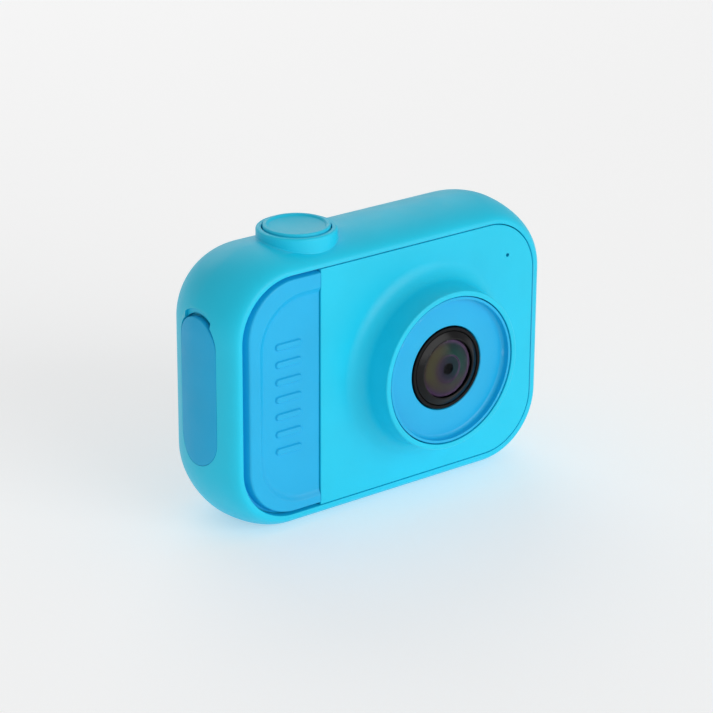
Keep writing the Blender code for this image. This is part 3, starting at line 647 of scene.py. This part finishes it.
def make_casing(finishes):
    lip, rear_lip = 0.2, 0.18
    loops = [box_loop(SEAM_HALF_W, SEAM_HALF_H, SEAM_CORNER, 0.0, RECESS_DEPTH)]
    for grow, depth in arc((lip, lip), lip, 180, 270, 5):
        loops.append(box_loop(SEAM_HALF_W, SEAM_HALF_H, SEAM_CORNER, grow, depth))
    loops += [casing_loop(depth) for depth in casing_depths(26, 34)]
    for grow, depth in arc((rear_lip, BODY_DEPTH - rear_lip), rear_lip, 90, 180, 4):
        loops.append(box_loop(REAR_HALF_W, REAR_HALF_H, REAR_CORNER, grow, depth))
    loops.append(box_loop(REAR_HALF_W, REAR_HALF_H, REAR_CORNER, 0.0, REAR_LEDGE))
    loops.append(box_loop(REAR_HALF_W, REAR_HALF_H, REAR_CORNER, -COVER_LEDGE_W, REAR_LEDGE))
    loops.append(box_loop(REAR_HALF_W, REAR_HALF_H, REAR_CORNER, -COVER_LEDGE_W, CAVITY_REAR))
    loops += [casing_loop(depth, WALL) for depth in (CAVITY_REAR, 19.0, 15.0, 11.3, 8.0, CAVITY_FRONT)]

    chamfer = 0.06
    pocket = loft([
        port_loop(PORT_R, lambda depth, height: PORT_FLOOR_X),
        port_loop(PORT_R, lambda depth, height: side_x(depth, height) + chamfer),
        port_loop(PORT_R + 0.3 * chamfer, lambda depth, height: side_x(depth, height) + 0.3 * chamfer),
        port_loop(PORT_R + chamfer, lambda depth, height: side_x(depth, height) - 0.01),
        port_loop(PORT_R + chamfer, lambda depth, height: OUTSIDE_X),
    ])
    speaker = []
    for i in range(SPEAKER_HOLES):
        height = SPEAKER_LOW + SPEAKER_PITCH * i
        speaker.append(prism(circle_outline(SPEAKER_DEPTH, height, SPEAKER_HOLE_R, 32), 38.0, 44.0, "x"))
    collar_seat = circle_outline(SHUTTER_X, SHUTTER_DEPTH, COLLAR_R + 0.05, 96)
    shutter_hole = prism(collar_seat, 24.0, 40.0, "height")
    notch = prism(notch_outline(), OUTSIDE_X, NOTCH_FLOOR_X, "x")
    fingernail_room = prism(crescent_outline(), PORT_FLOOR_X - 0.2, -39.6, "x")
    usb = prism(rounded_outline(*USB_DEPTHS, *USB_HEIGHTS, USB_CORNER, 8), -42.0, INSIDE_X, "x")
    lens_hole = prism(circle_outline(LENS_X, 0.0, LENS_HOLE_R, 64), 1.0, CAVITY_FRONT + 1.0)
    card = block((-42.0, INSIDE_X), CARD_DEPTHS, CARD_HEIGHTS)
    strap_slot = block((STRAP_SLOT_X, INSIDE_X), STRAP_DEPTHS, STRAP_HEIGHTS)
    mic_hole = prism(circle_outline(MIC_X, MIC_HEIGHT, MIC_HOLE_R, 24), 1.0, CAVITY_FRONT + 1.0)
    cuts = (
        (pocket, *speaker, shutter_hole),
        (fingernail_room,),
        (notch, usb, lens_hole),
        (card, strap_slot, mic_hole),
    )
    piece("casing_shell", [loft(loops)], finishes["casing"], replaces=("casing",),
          cuts=cuts, weighted=False)


def make_collar(finishes):
    """The collar round the shutter button rises from the casing's curved top in a small fillet."""
    section = [(COLLAR_R + COLLAR_FILLET * (1 - math.sin(a)), COLLAR_FILLET * (1 - math.cos(a)))
               for a in (math.radians(7.5 * i) for i in range(13))]
    wall = filleted([
        (COLLAR_R, 28.0, 0), (COLLAR_R, COLLAR_TOP, 0.5), (BUTTON_BORE_R, COLLAR_TOP, 0.16),
        (BUTTON_BORE_R, COLLAR_FOOT, 0),
    ], closed=False)[1:]
    wall += [(COLLAR_R, COLLAR_FOOT)]
    steps, sunk = 144, 0.008
    loops = []
    for radius, rise in [(COLLAR_R + COLLAR_FILLET, -0.5)] + section:
        ring = circle_outline(SHUTTER_X, SHUTTER_DEPTH, radius, steps)
        loops.append([place(x, depth, casing_top(x, depth) + rise - sunk) for x, depth in ring])
    for radius, height in wall:
        ring = circle_outline(SHUTTER_X, SHUTTER_DEPTH, radius, steps)
        loops.append([place(x, depth, height) for x, depth in ring])
    piece("shutter_collar", [loft(loops, closed=True)], finishes["casing"])


# ---------------------------------------------------------------- front pieces


def ray_to_outline(outline, angle, centre_x):
    """Where a ray from (centre_x, 0) at this angle leaves a closed outline of (x, height) points."""
    across, rise = math.cos(angle), math.sin(angle)
    best = 0.0
    for (x1, y1), (x2, y2) in zip(outline, outline[1:] + outline[:1]):
        start_x, start_y, run_x, run_y = x1 - centre_x, y1, x2 - x1, y2 - y1
        cross = across * run_y - rise * run_x
        if abs(cross) < 1e-12:
            continue
        distance = (start_x * run_y - start_y * run_x) / cross
        share = (start_x * rise - start_y * across) / cross
        if distance > 0 and -1e-9 <= share <= 1 + 1e-9:
            best = max(best, distance)
    return centre_x + best * across, best * rise


def make_front_plate(finishes):
    """The plate and its lens turret are one moulding: loops run from its outline in to the rim."""
    edge_x, edge_h = SEAM_HALF_W - SEAM_GAP, SEAM_HALF_H - SEAM_GAP
    steps = 240
    corner_turns = [math.atan2(side * edge_h, DIVIDER_X - LENS_X) % math.tau for side in (1, -1)]
    turns = [math.tau * i / steps for i in range(steps)]
    for corner in corner_turns:
        nearest = min(range(steps), key=lambda i: abs(turns[i] - corner))
        turns[nearest] = corner

    def outline_loop(inset, depth):
        outline = rounded_outline(
            DIVIDER_X + inset, edge_x - inset, inset - edge_h, edge_h - inset,
            SEAM_CORNER - SEAM_GAP - inset, 24, square_left=True,
        )
        corners = [(DIVIDER_X + inset, edge_h - inset), (DIVIDER_X + inset, inset - edge_h)]
        loop = []
        for turn in turns:
            if turn in corner_turns:
                x, height = corners[corner_turns.index(turn)]
            else:
                x, height = ray_to_outline(outline, turn, LENS_X)
            loop.append(place(x, depth, height))
        return loop

    def ring(radius, depth):
        return [place(LENS_X + radius * math.cos(t), depth, radius * math.sin(t)) for t in turns]

    edge = 0.16
    loops = [outline_loop(0.0, PLATE_BACK)]
    loops += [outline_loop(inset, depth) for inset, depth in arc((edge, edge), edge, 180, 270, 4)]
    flat_outer, flat_inner, flat_rings = outline_loop(0.7, 0.0), ring(FAIRING_FOOT + 0.4, 0.0), 12
    loops += [outline_loop(0.3, 0.0)]
    for i in range(flat_rings + 1):
        loops.append([a.lerp(b, i / flat_rings) for a, b in zip(flat_outer, flat_inner)])
    fairing = arc((FAIRING_FOOT, -FAIRING_R), FAIRING_R, 90, 174, 18)
    rim = filleted([
        (fairing[-1][0], fairing[-1][1], 0), (RIM_OUTER, RIM_FRONT, 0.32),
        (RIM_INNER, RIM_FRONT, 0.16), (RIM_INNER, -4.6, 0),
    ], closed=False)
    back = [(14.6, -4.6), (14.6, PLATE_BACK), (20.0, PLATE_BACK)]
    loops += [ring(radius, depth) for radius, depth in fairing + rim[1:] + back]
    mic_hole = prism(circle_outline(MIC_X, MIC_HEIGHT, MIC_HOLE_R, 32), -1.0, 3.0)
    piece(
        "front_plate_shell", [loft(loops, closed=True)], finishes["plate"],
        replaces=("front_plate",), cuts=((mic_hole,),), weighted=False,
    )


def make_grip_inlay(finishes):
    """An inlay with a sloping edge, a shallow finger recess out to the divider, and grip ribs."""
    left, right = SEAM_GAP - SEAM_HALF_W, DIVIDER_X - SEAM_GAP
    half_h, corner = SEAM_HALF_H - SEAM_GAP, SEAM_CORNER - SEAM_GAP
    slope_w, ledge_grow = 1.5, 0.3
    edge = filleted([
        (0.0, PLATE_BACK, 0), (0.0, 1.8, 0), (0.7, 1.75, 0.1),
        (1.45, INLAY_LEDGE, 0.6), (2.3, INLAY_LEDGE, 0),
    ], closed=False, step_angle=7.0)
    end_share = 0.45  # the edge slopes more steeply along the top and the underside
    rows = []
    for inset, depth in edge:
        high = half_h - inset * end_share
        rows.append((left + inset, -high, high, corner - inset * 0.75, depth))
    ledge_start, ledge_end = rows[-1], (
        RECESS_LEFT - ledge_grow, RECESS_LOW - ledge_grow, RECESS_HIGH + ledge_grow,
        RECESS_CORNER + ledge_grow, INLAY_LEDGE,
    )
    for i in range(1, 6):
        rows.append(tuple(a + (b - a) * i / 5 for a, b in zip(ledge_start, ledge_end)))
    slope = [(i / 18, (1 - math.cos(math.pi * (i / 18) ** 0.7)) / 2) for i in range(19)]
    slope += [(1.0 + 0.4 * i, 1.0) for i in range(1, 15)]
    for part, drop in slope:
        inset = slope_w * part
        depth = INLAY_LEDGE + (INLAY_FLOOR - INLAY_LEDGE) * drop
        rows.append((
            RECESS_LEFT + inset, RECESS_LOW + inset, RECESS_HIGH - inset, RECESS_CORNER - inset, depth
        ))
    loops = []
    for left_x, low, high, radius, depth in rows:
        outline = rounded_outline(left_x, right, low, high, radius, 30, square_right=True)
        loops.append([place(x, depth, height) for x, height in outline])

    shapes = []
    for i in range(RIB_COUNT):
        height = RIB_TOP - RIB_PITCH * i
        profile = filleted([
            (0.25, INLAY_FLOOR + 0.1, 0), (0.25, INLAY_FLOOR, 0.12),
            (0.0, INLAY_FLOOR - 0.42, 0.2), (-0.55, INLAY_FLOOR - 0.45, 0),
        ], closed=False)
        rib = [
            [place(x, depth, v) for x, v in pill_outline(RIB_X, height, RIB_R + grow, RIB_STRAIGHT, 16)]
            for grow, depth in profile
        ]
        shapes.append(loft(rib))
    piece(
        "grip_inlay_shell", [open_loft(loops)], finishes["blue"],
        replaces=("grip_inlay",), weighted=False,
    )
    piece("grip_ribs", shapes, finishes["blue"])


def make_lens(finishes):
    centre = (LENS_X, 0.0)

    def ring(name, corners, finish, replaces, slot):
        profile = filleted(corners)
        piece(name, [turned(profile, centre, steps=160)], finishes[finish], replaces=replaces)

    outer, seat, hole = RIM_INNER - SEAM_GAP, -4.9, 9.15
    lip, hollow = -8.3, 1.8
    bezel = [(outer, seat, 0), (outer, lip, 0.14), (15.35, lip, 0.1), (15.35, DISH_FLOOR, hollow)]
    bezel += [(hole, DISH_FLOOR, 0.3), (hole, seat, 0)]
    ring("lens_bezel_dish", bezel, "bezel", ("lens_bezel",), "blue_plastic")

    barrel = [(8.87, -4.6, 0), (8.87, -6.7, 0.16), (8.2, -6.7, 0.1), (8.2, -5.4, 0), (6.3, -5.4, 0)]
    barrel += [(6.3, -2.3, 0), (4.6, -2.3, 0), (4.6, 2.0, 0), (3.6, 2.0, 0), (3.6, 9.0, 0)]
    barrel += [(7.4, 9.0, 0), (7.4, -4.6, 0)]
    ring("lens_barrel_black", barrel, "satin_black", ("lens_barrel",), "lens_black")

    collar = [(8.05, -5.7, 0), (8.05, -6.6, 0.15), (6.7, -7.2, 0.15), (6.4, -7.12, 0.06)]
    collar += [(6.4, -6.92, 0), (6.68, -6.88, 0), (6.68, -5.7, 0)]
    ring("lens_ring_gloss", collar, "gloss_black", ("lens_retaining_ring",), "lens_black")

    # The front glass is a thin dome, and the element below it, painted with the coating's reflections and a
    # dark pupil, follows its curve.
    sphere, centre_depth, half_angle = 17.0, 8.92, 22.8
    outer_face = arc((0.0, centre_depth), sphere, half_angle - 90, -90, 24)
    inner_face = arc((0.0, centre_depth), sphere - 0.3, -90, half_angle - 90, 24)
    piece("front_glass", [turned(outer_face + inner_face, centre, steps=128)], finishes["glass"],
          replaces=("front_lens",))

    element = []
    for radius, dip in ((6.4, 0.0), (5.95, 0.0), (5.85, 0.1), (4.6, 0.12), (3.05, 0.14), (2.95, 0.3),
                        (2.1, 0.34), (1.25, 0.38), (1.15, 0.7), (0.5, 0.75), (0.0, 0.75)):
        dome = centre_depth - math.sqrt((sphere - 0.5) ** 2 - radius**2)
        element.append((radius, dome + dip, 0.05))
    element += [(0.0, -5.6, 0), (6.4, -5.6, 0)]
    piece("lens_inner_painted_reflections", [turned(filleted(element), centre, steps=128)], painted_reflection_finish())


# ---------------------------------------------------------------- shutter, port cover


def make_shutter(finishes):
    centre = (SHUTTER_X, SHUTTER_DEPTH)
    foot, rim, bowl_r, bowl_depth = BUTTON_FOOT, SHUTTER_TOP, 5.75, 0.62
    bowl = [bowl_r * (1 - i / 16) for i in range(1, 17)]
    profile = filleted([
        (0.0, foot, 0), (BUTTON_R, foot, 0), (BUTTON_R, rim, 0.35), (6.15, rim, 0.3),
        (bowl_r + 0.05, rim - 0.42, 0.15), (bowl_r - 0.05, rim - 0.44, 0),
    ], closed=False, step_angle=6.0)
    profile += [(r, rim - 0.44 - bowl_depth * (1 - (r / bowl_r) ** 2)) for r in bowl]
    cap = turned(profile, centre, "height", 144)
    ear_x = (SHUTTER_X - EAR_REACH, SHUTTER_X + EAR_REACH)
    ears = block(ear_x, EAR_DEPTHS, (foot, foot + EAR_THICK))
    stem = prism(circle_outline(*centre, 1.5, 32), 22.7, foot + 0.5, "height")
    piece("shutter_button_cap", [cap, ears, stem], finishes["button"], "shutter",
          replaces=("shutter_button",))


def make_port_cover(finishes):
    """A rubber cover that carries on the casing's surface, with a raised seal on its inner face.

    Its upper end stops short of the pocket's, so that a fingernail can lift it.
    """
    edge, seal = 0.1, COVER_INNER_X + 0.12

    def outer(inset, sink=0.0):
        return port_loop(
            PORT_COVER_R - inset, lambda depth, height: side_x(depth, height) + sink, COVER_TOP_GAP
        )

    def back(inset, x):
        return port_loop(PORT_COVER_R - inset, lambda depth, height: x, COVER_TOP_GAP)

    rings = 14
    loops = [outer(PORT_COVER_R - 0.02)]
    loops += [outer(PORT_COVER_R * (1 - i / rings)) for i in range(1, rings)]
    loops += [outer(0.3)]
    loops += [outer(inset, sink) for inset, sink in reversed(arc((edge, edge), edge, 180, 270, 4))]
    loops += [back(inset, x) for inset, x in (
        (0.0, COVER_INNER_X - 0.12), (0.12, COVER_INNER_X), (0.9, COVER_INNER_X),
        (1.0, seal), (1.5, seal), (1.6, COVER_INNER_X),
    )]
    piece("port_cover_skin", [loft(loops)], finishes["rubber"], "port_door",
          replaces=("port_cover",), weighted=False)


# ---------------------------------------------------------------- rear pieces


def screen_outline(half_w, half_h, corner, steps):
    return rounded_outline(SCREEN_X - half_w, SCREEN_X + half_w, -half_h, half_h, corner, steps)


def make_rear(finishes):
    half_w, half_h = REAR_HALF_W - SEAM_GAP, REAR_HALF_H - SEAM_GAP
    outline = rounded_outline(-half_w, half_w, -half_h, half_h, REAR_CORNER - SEAM_GAP, 16)
    glass = screen_outline(GLASS_HALF_W + SEAM_GAP, GLASS_HALF_H + SEAM_GAP, GLASS_CORNER + SEAM_GAP, 10)
    view = screen_outline(VIEW_HALF_W, VIEW_HALF_H, VIEW_CORNER, 6)
    key_holes, seats = [], []
    for name, radius, straight in KEYS:
        x, _, height = centre_of(name)
        key_holes.append(prism(pill_outline(x, height, radius + 0.2, straight), 23.0, 27.0))
    for x, height in CASE_SCREWS:
        seats.append(prism(circle_outline(x, height, 2.1, 48), 24.4, 27.0))
    shanks = [prism(circle_outline(x, height, 1.2, 24), 23.0, 24.9) for x, height in CASE_SCREWS]
    cuts = (
        (prism(glass, BODY_DEPTH - 1.1, BODY_DEPTH + 1.0), *key_holes, *seats),
        (prism(view, COVER_INNER - 1.0, BODY_DEPTH), *shanks),
    )
    piece("rear_cover_shell", [prism(outline, COVER_INNER, BODY_DEPTH)], finishes["cover"],
          replaces=("rear_cover",), cuts=cuts, edge=0.12)

    window = screen_outline(GLASS_HALF_W, GLASS_HALF_H, GLASS_CORNER, 10)
    piece("screen_glass", [prism(window, BODY_DEPTH - 1.0, BODY_DEPTH - 0.02)], finishes["window"],
          replaces=("screen_window",), edge=0.15)

    bodies = frame["record"]["behaviour"]["bodies"]
    for name, radius, straight in KEYS:
        x, _, height = centre_of(name)
        body = next(body for body, nodes in bodies.items() if name in nodes)
        make_key(finishes, name, body, x, height, radius, straight)
    for i, (x, height) in enumerate(CASE_SCREWS):
        make_screw(finishes, i + 1, x, height)


def make_key(finishes, name, body, x, height, radius, straight):
    """A key with a softly domed top; the OK key's is dished. Each carries a plain moulded mark."""
    top, flange, foot = BODY_DEPTH + 0.55, 22.4, 20.95
    crown = -0.18 if name == "key_ok" else 0.0
    profile = filleted([
        (0.35, flange, 0), (0.35, 23.2, 0), (0.0, 23.2, 0), (0.0, top, 0.35), (-radius * 0.45, top, 0.2),
        (-radius + 0.05, top + crown, 0),
    ], closed=False)
    loops = [
        [place(u, depth, v) for u, v in pill_outline(x, height, radius + grow, straight)]
        for grow, depth in profile
    ]
    stem = prism(circle_outline(x, height, 1.0, 24), foot, flange + 0.4)
    piece(f"{name}_cap", [loft(loops), stem], finishes["key"], body, replaces=(name,))

    rise = (top - 0.05, top + 0.05)
    arrows = {"key_up": 90, "key_down": 270, "key_left": 0, "key_right": 180}
    if name in arrows:
        turns = [math.radians(arrows[name] + 120 * i) for i in range(3)]
        mark = prism([(x + 0.85 * math.cos(t), height + 0.85 * math.sin(t)) for t in turns], *rise)
    elif name == "key_ok":
        foot, face = rise[0] - 0.15, rise[1] - 0.05
        mark = turned([(1.1, foot), (1.1, face), (1.4, face), (1.4, foot)], (x, height), steps=48)
    else:
        length = 1.2 if name == "power_key" else 0.5
        mark = prism(pill_outline(x, height, 0.22, length, 10), *rise)
    piece(f"{name}_mark", [mark], finishes["mark"], body)


def make_screw(finishes, number, x, height):
    """A countersunk cross-head screw."""
    seat, top, tip, shank, head = 24.45, 25.15, 15.0, 1.0, 1.9
    profile = filleted([
        (0.0, tip, 0), (shank * 0.4, tip, 0), (shank, tip + 0.8, 0), (shank, seat, 0), (head, seat, 0.1),
        (head, top, 0.25), (0.0, top + 0.06, 0),
    ], closed=False)
    arm, half = 1.05, 0.2
    turn = math.radians(22.0 * number)
    slots = []
    for angle in (turn, turn + math.pi / 2):
        along = Vector((math.cos(angle), math.sin(angle)))
        across = Vector((-along.y, along.x))
        corners = [along * a * arm + across * b * half for a, b in ((1, -1), (1, 1), (-1, 1), (-1, -1))]
        slots.append((prism([(x + c.x, height + c.y) for c in corners], top - 0.45, top + 1.0),))
    piece(f"case_screw_{number}_head", [turned(profile, (x, height), steps=48)], finishes["steel"],
          replaces=(f"case_screw_{number}",), cuts=slots)


# ---------------------------------------------------------------- inner pieces, stage


def dress_inner_pieces(finishes):
    """The CAD nodes that stay get a material each, by their slot in the record."""
    by_slot = {
        "lens_black": "satin_black", "inner_black": "inner_black", "lens_glass": "glass",
        "filter_glass": "filter", "screen_panel": "panel", "component_black": "chip",
        "circuit_board": "board", "plated_steel": "steel", "cell_foil": "foil", "foam": "foam",
        "flex_film": "flex", "card_plastic": "card", "white_plastic": "white", "lead_red": "red",
        "lead_black": "dark", "port_rubber": "rubber",
    }
    for row in frame["record"]["subparts"]:
        node = frame["nodes"][row["node"]]
        if node.hide_render:
            continue
        node.data.materials.clear()
        node.data.materials.append(finishes[by_slot[row["material_slot"]]])


def make_stage():
    builder = bmesh.new()
    bmesh.ops.create_circle(builder, cap_ends=True, radius=FLOOR_R, segments=96)
    mesh = bpy.data.meshes.new("floor")
    builder.to_mesh(mesh)
    builder.free()
    floor = bpy.data.objects.new("floor", mesh)
    bpy.context.scene.collection.objects.link(floor)
    g = Graph("floor_pale")
    g.link(g.mix(g.noise(3.0), (0.79, 0.79, 0.79), (0.81, 0.81, 0.81)), "Base Color")
    g.set(Roughness=0.7, Emission_Color=(1.0, 1.0, 1.0, 1.0), Emission_Strength=0.32)
    mesh.materials.append(g.material)

    world = bpy.data.worlds.new("studio")
    bpy.context.scene.world = world
    world.use_nodes = True
    nodes, links = world.node_tree.nodes, world.node_tree.links
    back = nodes["Background"]
    back.inputs["Color"].default_value = (1.0, 1.0, 1.0, 1.0)
    seen = nodes.new("ShaderNodeMapRange")
    seen.inputs["To Min"].default_value = WORLD_STRENGTH
    seen.inputs["To Max"].default_value = BACKDROP_STRENGTH
    links.new(nodes.new("ShaderNodeLightPath").outputs["Is Camera Ray"], seen.inputs["Value"])
    links.new(seen.outputs["Result"], back.inputs["Strength"])
    for name, position, size, power in SOFTBOXES:
        light = bpy.data.lights.new(name, "AREA")
        light.shape, light.size, light.energy = "DISK", size, power
        obj = bpy.data.objects.new(name, light)
        obj.location = position
        obj.rotation_mode = "QUATERNION"
        obj.rotation_quaternion = (Vector((0, 0, 0.03)) - Vector(position)).to_track_quat("-Z", "Y")
        bpy.context.scene.collection.objects.link(obj)


def make_camera():
    azimuth, elevation, roll = map(math.radians, (CAMERA_AZIMUTH, CAMERA_ELEVATION, CAMERA_ROLL))
    back = Vector((
        math.sin(azimuth) * math.cos(elevation),
        -math.cos(azimuth) * math.cos(elevation),
        math.sin(elevation),
    ))
    level = Vector((math.cos(azimuth), math.sin(azimuth), 0.0))
    up = back.cross(level)
    right = level * math.cos(roll) + up * math.sin(roll)
    up = up * math.cos(roll) - level * math.sin(roll)
    turn = Matrix((right, up, back)).transposed().to_4x4()
    data = bpy.data.cameras.new("camera")
    data.sensor_width, data.lens = 36.0, LENS_MM
    data.clip_start, data.clip_end = 0.01, 50.0
    camera = bpy.data.objects.new("camera_view", data)
    camera.matrix_world = Matrix.Translation(place(*CAMERA_AT)) @ turn
    bpy.context.scene.collection.objects.link(camera)
    bpy.context.scene.camera = camera


def main():
    bpy.context.scene.view_settings.view_transform = "Standard"
    make_camera()
    make_stage()
    finishes = make_finishes()
    make_casing(finishes)
    make_collar(finishes)
    make_front_plate(finishes)
    make_grip_inlay(finishes)
    make_lens(finishes)
    make_shutter(finishes)
    make_port_cover(finishes)
    make_rear(finishes)
    dress_inner_pieces(finishes)


main()
